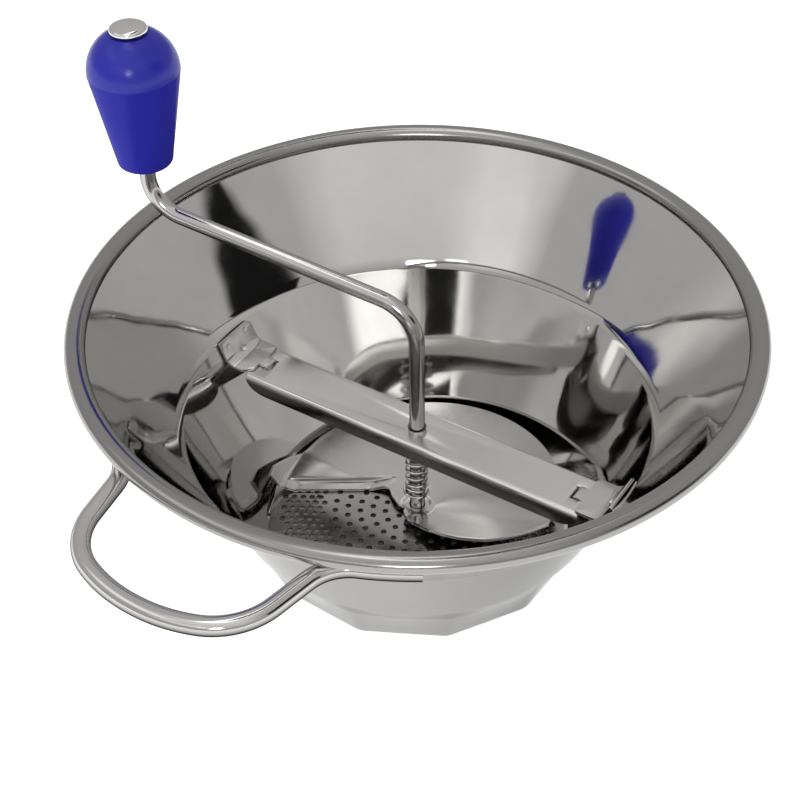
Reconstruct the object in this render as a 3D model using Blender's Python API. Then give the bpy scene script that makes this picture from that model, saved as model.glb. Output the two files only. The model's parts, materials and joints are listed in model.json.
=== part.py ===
# Hand cranked food mill: a flared hopper with a wire handle, a crossbar that clips under two
# brackets, and a sprung crank that carries the pressing blade over a perforated disc.
# Metres, +Z up, standing on the twelve-sided base. The handle points to -X, the crossbar lies along Y.
import math

import bmesh
import bpy
from mathutils import Matrix, Vector
from mathutils.geometry import delaunay_2d_cdt

MM = 0.001

# Hopper: one pressed sheet with a rolled rim
RIM_RADIUS = 155.0 * MM
RIM_HEIGHT = 128.5 * MM
BEAD_RADIUS = 4.0 * MM
HOPPER_SHEET = 1.0 * MM
CORNER_RADIUS = 109.25 * MM
CORNER_HEIGHT = 75.1 * MM
STEP_RADIUS = 90.0 * MM
STEP_HEIGHT = 31.5 * MM
STEP_INSET = 1.8 * MM
STEP_DROP = 1.6 * MM
BASE_RADIUS = 75.7 * MM
BASE_WALL = 5.5 * MM
LEDGE_WIDTH = 7.0 * MM
BASE_SIDES = 12
HOPPER_STEPS = 60
CURL_STEPS = 8
CURL_TURN = math.radians(285.0)

# Handle: one bent rod welded under the rim
HANDLE_ROD = 8.0 * MM
HANDLE_REACH = 198.0 * MM
HANDLE_FRONT_HALF = 12.7 * MM
HANDLE_SHOULDER_REACH = 183.5 * MM
HANDLE_SHOULDER_HALF = 41.5 * MM
HANDLE_FRONT_BEND = 68.0 * MM
HANDLE_SHOULDER_BEND = 30.0 * MM
HANDLE_FOOT_BEND = 11.0 * MM
HANDLE_FOOT_RUN = 6.5 * MM
HANDLE_FOOT_ANGLE = math.radians(22.2)
HANDLE_TAIL_ANGLE = math.radians(33.6)
HANDLE_TURN = math.radians(-0.7)

# Gaps between pieces
SEAT_GAP = 0.3 * MM
RUN_GAP = 0.5 * MM

# Crossbar: an inverted channel, held down by the tongues of two brackets
BAR_TOP = 61.0 * MM
BAR_WIDTH = 25.4 * MM
BAR_HALF_LENGTH = 91.0 * MM
BAR_SHEET = 1.5 * MM
BAR_FLANGE = 9.5 * MM
BAR_END_FLANGE = 2.6 * MM
BAR_END_ROUND = 11.0 * MM
BAR_BEND = 2.4 * MM
BAR_HOLE_RADIUS = 4.4 * MM
SLOT_WIDTH = 8.6 * MM
SLOT_LENGTH = 4.6 * MM
TONGUE_WIDTH = 7.2 * MM
TONGUE_LENGTH = 5.0 * MM
TONGUE_DROP = 2.6 * MM
BRACKET_WIDTH = 24.0 * MM
BRACKET_SHEET = 1.4 * MM
BRACKET_LAP = 1.6 * MM
BRACKET_BEND = 5.0 * MM
BRACKET_CORNER = 3.0 * MM
BRACKET_TOP_MARGIN = 1.6 * MM
BRACKET_CHAMFER = 4.0 * MM

# Perforated disc, with its turned-down skirt standing on the ledge
DISC_SHEET = 1.0 * MM
DISC_SKIRT = 3.7 * MM
HOLE_RADIUS = 1.6 * MM
HOLE_SIDES = 6
DISC_BORDER = 5.8 * MM
DENSE_BAND = 14.4 * MM
DENSE_PITCH = 8.6 * MM
PLAIN_BAND = 10.6 * MM
SPARSE_INNER = 12.0 * MM
SPARSE_PITCH = 11.0 * MM

# Crank: one bent rod from the disc's centre hole to the knob's cap
CRANK_ROD = 7.3 * MM
CRANK_TIP = 1.6 * MM
CRANK_CORNER_HEIGHT = 128.5 * MM
CRANK_RADIUS = 133.0 * MM
CRANK_ANGLE = math.radians(98.3)
CRANK_RISE = 21.8 * MM
CRANK_LOWER_BEND = 21.0 * MM
CRANK_UPPER_BEND = 18.0 * MM

# Spring and its two washers
SPRING_WIRE = 1.6 * MM
SPRING_COIL = 5.2 * MM
SPRING_CURLS = 7
CURL_POINTS = 10
SPRING_SEAT_TOP = 20.5 * MM
SEAT_WASHER_RADIUS = 6.9 * MM
SEAT_WASHER_SHEET = 1.2 * MM
BAR_WASHER_RADIUS = 8.0 * MM
BAR_WASHER_SHEET = 1.0 * MM
RING_WALL = 1.5 * MM
RING_HEIGHT = 1.3 * MM

# Blade: a rising part-turn of plate with a pressing foot and a turned-up scraper
BLADE_CLEARANCE = 4.1 * MM
BLADE_SHEET = 1.4 * MM
BLADE_LIFT = 19.0 * MM
FOOT_STEP = 1.8 * MM
FOOT_SHARE = 0.0797
RAMP_SHARE = 0.0232
TRAIL_SHARE = 0.1985
SCRAPER_OUT = 5.0 * MM
SCRAPER_UP = 8.0 * MM
BOSS_RADIUS = 6.6 * MM
BOSS_HEIGHT = 1.2 * MM
BLADE_TURN = math.radians(-57.0)
LEAD_ANGLE = math.radians(-28.0)
LEVEL_ANGLE = math.radians(146.0)
BLADE_COLUMNS = 24

# Knob and what holds it on the rod
KNOB_BOTTOM = 174.3 * MM
KNOB_FOOT_RADIUS = 12.6 * MM
KNOB_RADIUS = 20.4 * MM
KNOB_LENGTH = 65.4 * MM
KNOB_FOOT_ROUND = 1.5 * MM
KNOB_STEPS = 32
CAP_RADIUS = 8.3 * MM
CAP_EDGE = 0.9 * MM
CAP_DOME = 2.3 * MM
CAP_RECESS = 0.8 * MM
STOP_RADIUS = 6.2 * MM
STOP_HEIGHT = 1.4 * MM
STOP_INSET = 0.4 * MM

OVERRUN = 1.0 * MM
ROUND_STEPS = 24

# Worked out from the sizes above
AXIS_X = (HANDLE_REACH - RIM_RADIUS * math.cos(math.pi / HOPPER_STEPS)) / 2
BEAD_CENTRE_RADIUS = RIM_RADIUS - BEAD_RADIUS
BASE_FLAT = BASE_RADIUS * math.cos(math.pi / BASE_SIDES)
DENSE_OUTER = BASE_FLAT - SEAT_GAP - DISC_SHEET - DISC_BORDER
DENSE_INNER = DENSE_OUTER - DENSE_BAND
SPARSE_OUTER = DENSE_INNER - PLAIN_BAND
BLADE_RADIUS = BASE_FLAT - BLADE_CLEARANCE
FOOT_WIDTH = BLADE_RADIUS * FOOT_SHARE
FOOT_RAMP = BLADE_RADIUS * RAMP_SHARE
TRAIL_OFFSET = BLADE_RADIUS * TRAIL_SHARE
DISC_TOP = HOPPER_SHEET + SEAT_GAP + DISC_SKIRT
FOOT_TOP = DISC_TOP + RUN_GAP + BLADE_SHEET
BLADE_LEVEL = FOOT_TOP + FOOT_STEP
CRANK_ROD_RADIUS = CRANK_ROD / 2
WALL_SLOPE = (CORNER_RADIUS - STEP_RADIUS) / (CORNER_HEIGHT - STEP_HEIGHT)
KNOB_TOP = KNOB_BOTTOM + KNOB_LENGTH
CRANK_TOP = KNOB_TOP - CAP_RECESS
TIP_HOLE_RADIUS = CRANK_ROD_RADIUS + RUN_GAP


def clear_scene():
    for old in list(bpy.data.objects):
        bpy.data.objects.remove(old, do_unlink=True)


def make_material(name, colour, roughness, metallic):
    material = bpy.data.materials.new(name)
    material.use_nodes = True
    shader = material.node_tree.nodes["Principled BSDF"]
    shader.inputs["Base Color"].default_value = (*colour, 1.0)
    shader.inputs["Roughness"].default_value = roughness
    shader.inputs["Metallic"].default_value = metallic
    return material


def make_empty(name, parent, place):
    empty = bpy.data.objects.new(name, None)
    empty.location = place
    empty.parent = parent
    bpy.context.collection.objects.link(empty)
    return empty


def add_piece(name, data, material, parent):
    piece = bpy.data.objects.new(name, data)
    piece.parent = parent
    bpy.context.collection.objects.link(piece)
    data.materials.append(material)
    return piece


def mesh_piece(name, bm, material, parent, sharp=math.radians(35.0)):
    bmesh.ops.recalc_face_normals(bm, faces=bm.faces)
    mesh = bpy.data.meshes.new(name)
    bm.to_mesh(mesh)
    bm.free()
    mesh.shade_smooth()
    mesh.set_sharp_from_angle(angle=sharp)
    return add_piece(name, mesh, material, parent)


# Turned and ringed shapes
def polar(radius, angle, height):
    return Vector((radius * math.cos(angle), radius * math.sin(angle), height))


def ring_mesh(rings, close_profile):
    """A skin over rings of points, each ring closed round the axis."""
    bm = bmesh.new()
    loops = [[bm.verts.new(point) for point in ring] for ring in rings]
    pairs = list(zip(loops, loops[1:]))
    if close_profile:
        pairs.append((loops[-1], loops[0]))
    for low, high in pairs:
        count = len(low)
        for i in range(count):
            j = (i + 1) % count
            bm.faces.new((low[i], low[j], high[j], high[i]))
    return bm


def turned_mesh(profile, steps, close_profile=True):
    """Turns a profile of (radius, height) about Z."""
    angles = [2 * math.pi * i / steps for i in range(steps)]
    rings = [[polar(r, a, z) for a in angles] for r, z in profile]
    return ring_mesh(rings, close_profile)


def turned_solid(profile, steps):
    """Turns an open profile that starts and ends near the axis, and closes both ends with a cap."""
    bm = turned_mesh(profile, steps, close_profile=False)
    bm.verts.ensure_lookup_table()
    last = len(bm.verts) - steps
    bm.faces.new([bm.verts[i] for i in range(steps)])
    bm.faces.new([bm.verts[last + i] for i in range(steps)])
    return bm


def washer_mesh(inner, outer, low, high):
    return turned_mesh([(inner, low), (outer, low), (outer, high), (inner, high)], ROUND_STEPS)


# Bent rods
def rounded_route(points, bends, steps):
    """A route through corners, each interior corner rounded by its own bend radius."""
    route = [points[0]]
    for before, corner, after, bend in zip(points, points[1:], points[2:], bends):
        towards = (before - corner).normalized()
        onward = (after - corner).normalized()
        half = towards.angle(onward) / 2
        reach = bend / math.tan(half)
        centre = corner + (towards + onward).normalized() * (bend / math.sin(half))
        first = corner + towards * reach - centre
        last = corner + onward * reach - centre
        sweep = first.angle(last)
        for k in range(steps + 1):
            share = k / steps
            arm = (first * math.sin((1 - share) * sweep) + last * math.sin(share * sweep)) / math.sin(sweep)
            route.append(centre + arm)
    route.append(points[-1])
    return route


def tube_curve(name, route, radius, resolution):
    curve = bpy.data.curves.new(name, "CURVE")
    curve.dimensions = "3D"
    spline = curve.splines.new("POLY")
    spline.points.add(len(route) - 1)
    for point, place in zip(spline.points, route):
        point.co = (*place, 1.0)
    curve.bevel_depth = radius
    curve.bevel_resolution = resolution
    curve.use_fill_caps = True
    return curve


# Hopper
def flare_angle():
    """The flare's slope above the horizontal: its inner face is tangent to the rim bead."""
    run = Vector((BEAD_CENTRE_RADIUS - CORNER_RADIUS, RIM_HEIGHT - CORNER_HEIGHT))
    return math.atan2(run.y, run.x) + math.asin(BEAD_RADIUS / run.length)


def wall_radius(height):
    """Inner radius of the cone between the step and the corner."""
    return STEP_RADIUS + (height - STEP_HEIGHT) * WALL_SLOPE


def hopper_profile():
    """Inner face from the ledge up to the end of the rolled rim: radius, height, share of polygon."""
    facet_top = STEP_HEIGHT - STEP_DROP
    facet_radius = STEP_RADIUS - STEP_INSET
    base_top = HOPPER_SHEET + BASE_WALL
    facet_middle = (base_top + facet_top) / 2
    profile = [
        (BASE_RADIUS - LEDGE_WIDTH, HOPPER_SHEET, 1.0),
        (BASE_RADIUS, HOPPER_SHEET, 1.0),
        (BASE_RADIUS, base_top, 1.0),
        ((BASE_RADIUS + facet_radius) / 2, facet_middle, 0.6),
        (facet_radius, facet_top, 0.0),
        (STEP_RADIUS, STEP_HEIGHT, 0.0),
        (CORNER_RADIUS, CORNER_HEIGHT, 0.0),
    ]
    start = flare_angle() + math.pi / 2
    for k in range(CURL_STEPS + 1):
        angle = start - CURL_TURN * k / CURL_STEPS
        radius = BEAD_CENTRE_RADIUS + BEAD_RADIUS * math.cos(angle)
        profile.append((radius, RIM_HEIGHT + BEAD_RADIUS * math.sin(angle), 0.0))
    return profile


def polygon_radius(radius, angle, share):
    """Radius of a twelve-sided ring whose flats face the axes, blended towards a circle."""
    side = 2 * math.pi / BASE_SIDES
    offset = (angle + side / 2) % side - side / 2
    flat = math.cos(side / 2) / math.cos(offset)
    return radius * (1 - share + share * flat)


def build_hopper(steel, parent):
    angles = [2 * math.pi * (i + 0.5) / HOPPER_STEPS for i in range(HOPPER_STEPS)]
    rings = []
    for radius, height, share in hopper_profile():
        rings.append([polar(polygon_radius(radius, a, share), a, height) for a in angles])
    bm = ring_mesh(rings, close_profile=False)
    hopper = mesh_piece("hopper", bm, steel, parent)
    wall = hopper.modifiers.new("sheet", "SOLIDIFY")
    wall.thickness = HOPPER_SHEET
    wall.offset = -1.0
    wall.use_even_offset = True
    wall.use_quality_normals = True
    return hopper


# Handle
def handle_seat():
    """Centre of the rod where it runs under the rim: radius and height, clear of bead and flare."""
    height = RIM_HEIGHT - BEAD_RADIUS - SEAT_GAP - HANDLE_ROD / 2
    slope = flare_angle()
    off_flare = HOPPER_SHEET + SEAT_GAP + HANDLE_ROD / 2
    on_flare = (height - CORNER_HEIGHT + off_flare * math.cos(slope)) / math.sin(slope)
    radius = CORNER_RADIUS + on_flare * math.cos(slope) + off_flare * math.sin(slope)
    return radius, height


def handle_side(side):
    """Corners of one half of the handle from the rod's cut end to its front."""
    radius, height = handle_seat()
    tail = []
    tail_steps = 4
    for k in range(tail_steps + 1):
        lean = HANDLE_TAIL_ANGLE + (HANDLE_FOOT_ANGLE - HANDLE_TAIL_ANGLE) * k / tail_steps
        tail.append(polar(radius, math.pi - side * lean, height))
    along = Vector((-math.sin(HANDLE_FOOT_ANGLE), -side * math.cos(HANDLE_FOOT_ANGLE), 0.0))
    foot = tail[-1] + along * HANDLE_FOOT_RUN
    shoulder = Vector((-HANDLE_SHOULDER_REACH, side * HANDLE_SHOULDER_HALF, height))
    front = Vector((-HANDLE_REACH + HANDLE_ROD / 2, side * HANDLE_FRONT_HALF, height))
    return tail, foot, shoulder, front


def build_handle(steel, parent):
    tail_a, foot_a, shoulder_a, front_a = handle_side(1)
    tail_b, foot_b, shoulder_b, front_b = handle_side(-1)
    corners = [tail_a[-1], foot_a, shoulder_a, front_a, front_b, shoulder_b, foot_b, tail_b[-1]]
    bends = [
        HANDLE_FOOT_BEND,
        HANDLE_SHOULDER_BEND,
        HANDLE_FRONT_BEND,
        HANDLE_FRONT_BEND,
        HANDLE_SHOULDER_BEND,
        HANDLE_FOOT_BEND,
    ]
    route = tail_a[:-1] + rounded_route(corners, bends, 4) + list(reversed(tail_b[:-1]))
    curve = tube_curve("handle", route, HANDLE_ROD / 2, 4)
    handle = add_piece("handle", curve, steel, parent)
    handle.rotation_euler = (0.0, 0.0, HANDLE_TURN)
    return handle


# Crossbar and brackets
def channel_section(flange):
    """Half outline of the inverted channel in (across, height), outer face then inner face."""
    half = BAR_WIDTH / 2
    outer = []
    bend_steps = 3
    for k in range(bend_steps + 1):
        turn = math.pi / 2 * k / bend_steps
        across = half - BAR_BEND + BAR_BEND * math.sin(turn)
        outer.append((across, BAR_TOP - BAR_BEND + BAR_BEND * math.cos(turn)))
    outer.append((half, BAR_TOP - flange))
    inner_bend = BAR_BEND - BAR_SHEET
    inner = [(half - BAR_SHEET, BAR_TOP - flange)]
    for k in range(bend_steps, -1, -1):
        turn = math.pi / 2 * k / bend_steps
        across = half - BAR_BEND + inner_bend * math.sin(turn)
        inner.append((across, BAR_TOP - BAR_BEND + inner_bend * math.cos(turn)))
    return outer, inner


def channel_stations():
    """Places along the bar with the flange's depth there: rounded up towards each end."""
    steps = 5
    end = []
    for k in range(steps + 1):
        turn = math.pi / 2 * k / steps
        place = BAR_HALF_LENGTH - BAR_END_ROUND * (1 - math.cos(turn))
        depth = BAR_END_FLANGE + (BAR_FLANGE - BAR_END_FLANGE) * math.sin(turn)
        end.append((place, depth))
    return end + [(-place, depth) for place, depth in reversed(end)]


def box_mesh(low, high):
    bm = bmesh.new()
    size = Vector(high) - Vector(low)
    middle = (Vector(high) + Vector(low)) / 2
    place = Matrix.Translation(middle) @ Matrix.Diagonal((*size, 1.0))
    bmesh.ops.create_cube(bm, size=1.0, matrix=place)
    return bm


def add_cutter(name, bm, target, parent):
    mesh = bpy.data.meshes.new(name)
    bmesh.ops.recalc_face_normals(bm, faces=bm.faces)
    bm.to_mesh(mesh)
    bm.free()
    cutter = bpy.data.objects.new(name, mesh)
    cutter.parent = parent
    cutter.hide_render = True
    cutter.display_type = "WIRE"
    bpy.context.collection.objects.link(cutter)
    cut = target.modifiers.new(name, "BOOLEAN")
    cut.operation = "DIFFERENCE"
    cut.object = cutter
    return cutter


def tongue_inner():
    """Distance from the axis to the tongue's turned-down tip."""
    return BAR_HALF_LENGTH - BRACKET_LAP - TONGUE_LENGTH


def build_crossbar(steel, parent):
    bm = bmesh.new()
    loops = []
    for place, flange in channel_stations():
        outer, inner = channel_section(flange)
        right = outer + inner
        left = [(-across, height) for across, height in reversed(right)]
        loops.append([bm.verts.new((across, place, height)) for across, height in right + left])
    for low, high in zip(loops, loops[1:]):
        for i in range(len(low)):
            j = (i + 1) % len(low)
            bm.faces.new((low[i], low[j], high[j], high[i]))
    bm.faces.new(loops[0])
    bm.faces.new(loops[-1])
    bar = mesh_piece("crossbar", bm, steel, parent)
    low = BAR_TOP - BAR_SHEET - OVERRUN
    high = BAR_TOP + OVERRUN
    add_cutter("cut_bar_hole", turned_solid([(BAR_HOLE_RADIUS, low), (BAR_HOLE_RADIUS, high)], 24), bar, parent)
    slot_near = tongue_inner() - (SLOT_LENGTH - BRACKET_SHEET) / 2
    slot_far = slot_near + SLOT_LENGTH
    for name, side in (("cut_slot_left", 1), ("cut_slot_right", -1)):
        near = min(side * slot_near, side * slot_far)
        far = max(side * slot_near, side * slot_far)
        slot = box_mesh((-SLOT_WIDTH / 2, near, low), (SLOT_WIDTH / 2, far, high))
        add_cutter(name, slot, bar, parent)
    return bar


def bracket_path():
    """The bracket's top face from the leg's upper edge to the tongue's tip: distance out, height."""
    lean = math.atan(WALL_SLOPE)
    plate = BAR_TOP + SEAT_GAP + BRACKET_SHEET
    half = BRACKET_WIDTH / 2
    leg_top = CORNER_HEIGHT - BRACKET_TOP_MARGIN
    off_wall = (BRACKET_SHEET + SEAT_GAP) / math.cos(lean)

    def leg(height):
        return math.sqrt(wall_radius(height) ** 2 - half**2) - off_wall

    lap = BAR_HALF_LENGTH - BRACKET_LAP
    corners = [(leg(leg_top), leg_top), (leg(plate), plate), (lap + BRACKET_CHAMFER, plate)]
    bend = [tuple(point) for point in rounded_route([Vector(c) for c in corners], [BRACKET_BEND], 4)]
    shoulder = leg_top - BRACKET_CORNER
    bend.insert(1, (leg(shoulder), shoulder))
    tip = tongue_inner()
    return bend, [(lap, plate)], [
        (tip + BRACKET_SHEET / 2, plate),
        (tip, plate - BRACKET_SHEET / 2),
        (tip, BAR_TOP - TONGUE_DROP),
    ]


def build_bracket(name, side, steel, parent):
    bend, plate, tongue = bracket_path()
    half = BRACKET_WIDTH / 2
    path = bend + plate + tongue
    outer_rows = len(bend) + len(plate)
    widths = [half - BRACKET_CORNER] + [half] * (len(bend) - 1) + [half - BRACKET_CHAMFER / 2]
    bm = bmesh.new()
    rows = []
    for k, (out, height) in enumerate(path):
        edge = widths[k] if k < outer_rows else 0.0
        spread = (-edge, -TONGUE_WIDTH / 2, TONGUE_WIDTH / 2, edge)
        if k >= outer_rows:
            spread = (None, -TONGUE_WIDTH / 2, TONGUE_WIDTH / 2, None)
        row = []
        for across in spread:
            row.append(None if across is None else bm.verts.new((across, side * out, height)))
        rows.append(row)
    for low, high in zip(rows, rows[1:]):
        for i in range(3):
            corners = (low[i], low[i + 1], high[i + 1], high[i])
            if None not in corners:
                bm.faces.new(corners if side > 0 else corners[::-1])
    bm.normal_update()
    mesh = bpy.data.meshes.new(name)
    bm.to_mesh(mesh)
    bm.free()
    piece = add_piece(name, mesh, steel, parent)
    sheet = piece.modifiers.new("sheet", "SOLIDIFY")
    sheet.thickness = BRACKET_SHEET
    sheet.offset = 1.0
    sheet.use_even_offset = True
    return piece


# Perforated disc
def hole_rings(outer, inner, pitch):
    """Rings of hole centres from outer to inner radius, staggered and evenly spaced."""
    count = max(1, round((outer - inner) / pitch))
    centres = []
    for k in range(count + 1):
        radius = outer - (outer - inner) * k / count
        holes = max(3, round(2 * math.pi * radius / pitch))
        for i in range(holes):
            angle = 2 * math.pi * (i + 0.5 * (k % 2)) / holes
            centres.append((radius * math.cos(angle), radius * math.sin(angle)))
    return centres


def polygon_outline(radius, sides, turn=0.0):
    return [
        (radius * math.cos(2 * math.pi * i / sides + turn), radius * math.sin(2 * math.pi * i / sides + turn))
        for i in range(sides)
    ]


def fill_with_holes(bm, outline, holes, height):
    """Adds flat faces inside an outline, left open where all corners belong to one hole."""
    points = []
    edges = []
    owner = []
    for k, ring in enumerate([outline] + holes):
        base = len(points)
        points += [Vector(p) for p in ring]
        edges += [(base + i, base + (i + 1) % len(ring)) for i in range(len(ring))]
        owner += [k] * len(ring)
    tiny = HOLE_RADIUS / 1000
    places, _, faces, source, _, _ = delaunay_2d_cdt(points, edges, [], 1, tiny)
    verts = [bm.verts.new((p.x, p.y, height)) for p in places]
    for face in faces:
        rings = {owner[source[i][0]] for i in face}
        if len(rings) > 1:
            bm.faces.new([verts[i] for i in face])
    for vert in verts:
        if not vert.link_faces:
            bm.verts.remove(vert)


def band(bm, ring, low, high):
    """An upright band of faces on a closed ring."""
    lower = [bm.verts.new((x, y, low)) for x, y in ring]
    upper = [bm.verts.new((x, y, high)) for x, y in ring]
    for i in range(len(ring)):
        j = (i + 1) % len(ring)
        bm.faces.new((lower[i], lower[j], upper[j], upper[i]))


def build_disc(steel, parent):
    """The sieve: a twelve-sided plate with round holes and a skirt turned down to the ledge."""
    corner_turn = math.pi / BASE_SIDES
    rim = polygon_outline(BASE_RADIUS - SEAT_GAP / math.cos(corner_turn), BASE_SIDES, corner_turn)
    inner_radius = BASE_RADIUS - (SEAT_GAP + DISC_SHEET) / math.cos(corner_turn)
    inside = polygon_outline(inner_radius, BASE_SIDES, corner_turn)
    centres = hole_rings(DENSE_OUTER, DENSE_INNER, DENSE_PITCH)
    centres += hole_rings(SPARSE_OUTER, SPARSE_INNER, SPARSE_PITCH)
    holes = []
    for x, y in centres:
        turn = math.atan2(y, x)
        holes.append([(x + u, y + v) for u, v in polygon_outline(HOLE_RADIUS, HOLE_SIDES, turn)])
    holes.append(polygon_outline(TIP_HOLE_RADIUS, 16))
    top = DISC_TOP
    under = DISC_TOP - DISC_SHEET
    foot = HOPPER_SHEET + SEAT_GAP
    bm = bmesh.new()
    fill_with_holes(bm, rim, holes, top)
    fill_with_holes(bm, inside, holes, under)
    fill_with_holes(bm, rim, [inside], foot)
    band(bm, rim, foot, top)
    band(bm, inside, foot, under)
    for ring in holes:
        band(bm, ring, under, top)
    bmesh.ops.remove_doubles(bm, verts=bm.verts, dist=DISC_SHEET / 100)
    return mesh_piece("sieve_disc", bm, steel, parent)


# Blade
LEAD_SHARES = (0.110, 0.170, 0.240, 0.350, 0.470, 0.580, 0.700, 0.830, 0.920, 1.000)
LEAD_DEGREES = (-152.0, -112.0, -88.0, -72.0, -62.0, -55.0, -48.5, -39.5, -33.5, -28.0)
TRAIL_SHARES = (0.110, 0.170, 0.240)
TRAIL_DEGREES = (186.0, 160.0, 143.0)


def between(value, low, high):
    return min(1.0, max(0.0, (value - low) / (high - low)))


def trail_angle(radius, share, inset):
    """Angle of a line parallel to the trailing edge, inset from it, at a radius."""
    for known, degrees in zip(TRAIL_SHARES, TRAIL_DEGREES):
        if share <= known:
            return math.radians(degrees) - inset / BLADE_RADIUS * 2
    return math.pi - math.asin((TRAIL_OFFSET + inset) / radius)


def blade_height(radius, angle):
    """Height of the plate's top face: level at the trailing side, rising towards the leading edge."""
    rise = between(LEVEL_ANGLE - angle, 0.0, LEVEL_ANGLE - LEAD_ANGLE)
    outward = between(radius, BOSS_RADIUS, BLADE_RADIUS)
    return BLADE_LEVEL + BLADE_LIFT * rise * outward


def blade_ring(share):
    """Points of one ring of the blade from its leading to its trailing edge."""
    radius = BLADE_RADIUS * share
    lead = math.radians(LEAD_DEGREES[LEAD_SHARES.index(share)])
    trail = trail_angle(radius, share, 0.0)
    ramp_top = trail_angle(radius, share, FOOT_WIDTH + FOOT_RAMP)
    ramp_foot = trail_angle(radius, share, FOOT_WIDTH)
    depth = FOOT_STEP * between(share, LEAD_SHARES[1], LEAD_SHARES[3])
    points = []
    for i in range(BLADE_COLUMNS + 1):
        angle = lead + (ramp_top - lead) * i / BLADE_COLUMNS
        points.append(polar(radius, angle, blade_height(radius, angle)))
    for angle in (ramp_foot, trail):
        points.append(polar(radius, angle, blade_height(radius, angle) - depth))
    return points


def scraper_ring(edge):
    """The turned-up scraper on the last part of the rim: nothing at its start, full at its end."""
    points = []
    for i, point in enumerate(edge):
        angle = math.atan2(point.y, point.x)
        grown = between(angle, LEVEL_ANGLE, LEVEL_ANGLE + math.radians(17.0))
        if angle < 0 or grown == 0.0:
            points.append(None)
            continue
        out = Vector((point.x, point.y, 0.0)).normalized() * SCRAPER_OUT * grown
        points.append(point + out + Vector((0.0, 0.0, SCRAPER_UP * grown)))
    return points


def build_blade(steel, parent):
    rings = []
    columns = BLADE_COLUMNS + 3
    for radius, lift in ((CRANK_ROD_RADIUS + SEAT_GAP, BOSS_HEIGHT), (BOSS_RADIUS, BOSS_HEIGHT)):
        start = math.radians(LEAD_DEGREES[0] - 11.0)
        ring = []
        for i in range(columns):
            angle = start + 2 * math.pi * i / (columns - 1)
            ring.append(polar(radius, angle, BLADE_LEVEL + lift))
        rings.append(ring)
    for share in LEAD_SHARES:
        rings.append(blade_ring(share))
    bm = bmesh.new()
    grid = [[bm.verts.new(point) for point in ring] for ring in rings]
    scraper = []
    for low, point in zip(grid[-1], scraper_ring(rings[-1])):
        scraper.append(low if point is None else bm.verts.new(point))
    for low, high in zip(grid, grid[1:] + [scraper]):
        for i in range(columns - 1):
            corners = []
            for vert in (low[i], low[i + 1], high[i + 1], high[i]):
                if vert not in corners:
                    corners.append(vert)
            if len(corners) > 2:
                bm.faces.new(corners)
    bmesh.ops.remove_doubles(bm, verts=bm.verts, dist=BLADE_SHEET / 100)
    top = list(bm.faces)
    made = bmesh.ops.extrude_face_region(bm, geom=top, use_keep_orig=True)
    lower = [item for item in made["geom"] if isinstance(item, bmesh.types.BMVert)]
    bmesh.ops.translate(bm, verts=lower, vec=(0.0, 0.0, -BLADE_SHEET))
    blade = mesh_piece("blade", bm, steel, parent, sharp=math.radians(28.0))
    blade.rotation_euler = (0.0, 0.0, BLADE_TURN)
    return blade


# Crank, spring and small parts
def crank_route():
    tip = Vector((0.0, 0.0, CRANK_TIP))
    corner = Vector((0.0, 0.0, CRANK_CORNER_HEIGHT))
    elbow = polar(CRANK_RADIUS, CRANK_ANGLE, CRANK_CORNER_HEIGHT + CRANK_RISE)
    end = Vector((elbow.x, elbow.y, CRANK_TOP))
    return rounded_route([tip, corner, elbow, end], [CRANK_LOWER_BEND, CRANK_UPPER_BEND], 8)


def build_crank(steel, parent):
    curve = tube_curve("crank_rod", crank_route(), CRANK_ROD_RADIUS, 4)
    return add_piece("crank_rod", curve, steel, parent)


def spring_route():
    """The wire from its lower end, straight up off the washer, round the curls, to its upper end."""
    bottom = SPRING_SEAT_TOP + SEAT_GAP
    top = BAR_TOP - BAR_SHEET - BAR_WASHER_SHEET - 2 * SEAT_GAP
    lead = 2 * SPRING_WIRE
    low = bottom + lead
    pitch = (top - bottom - 2 * lead) / SPRING_CURLS
    lean = SPRING_WIRE / SPRING_COIL / 3
    route = [polar(SPRING_COIL, -3 * lean, bottom), polar(SPRING_COIL, -3 * lean, bottom + SPRING_WIRE)]
    route.append(polar(SPRING_COIL, -2 * lean, low - SPRING_WIRE / 4))
    steps = SPRING_CURLS * CURL_POINTS
    for k in range(steps + 1):
        turn = k / CURL_POINTS
        route.append(polar(SPRING_COIL, 2 * math.pi * turn, low + pitch * turn))
    route.append(polar(SPRING_COIL, 2 * lean, top - lead + SPRING_WIRE / 4))
    route.append(polar(SPRING_COIL, 3 * lean, top - SPRING_WIRE))
    route.append(polar(SPRING_COIL, 3 * lean, top))
    return route


def least_gap(route, wire, skip):
    """Least clear distance between two stretches of a tube that are not neighbours."""
    best = None
    for i, first in enumerate(route):
        for second in route[i + skip:]:
            gap = (first - second).length - wire
            if best is None or gap < best:
                best = gap
    return best


def build_spring(steel, parent):
    route = spring_route()
    print("spring: least gap to itself %.2f mm" % (least_gap(route, SPRING_WIRE, CURL_POINTS // 2) / MM))
    curve = tube_curve("spring", route, SPRING_WIRE / 2, 1)
    return add_piece("spring", curve, steel, parent)


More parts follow.
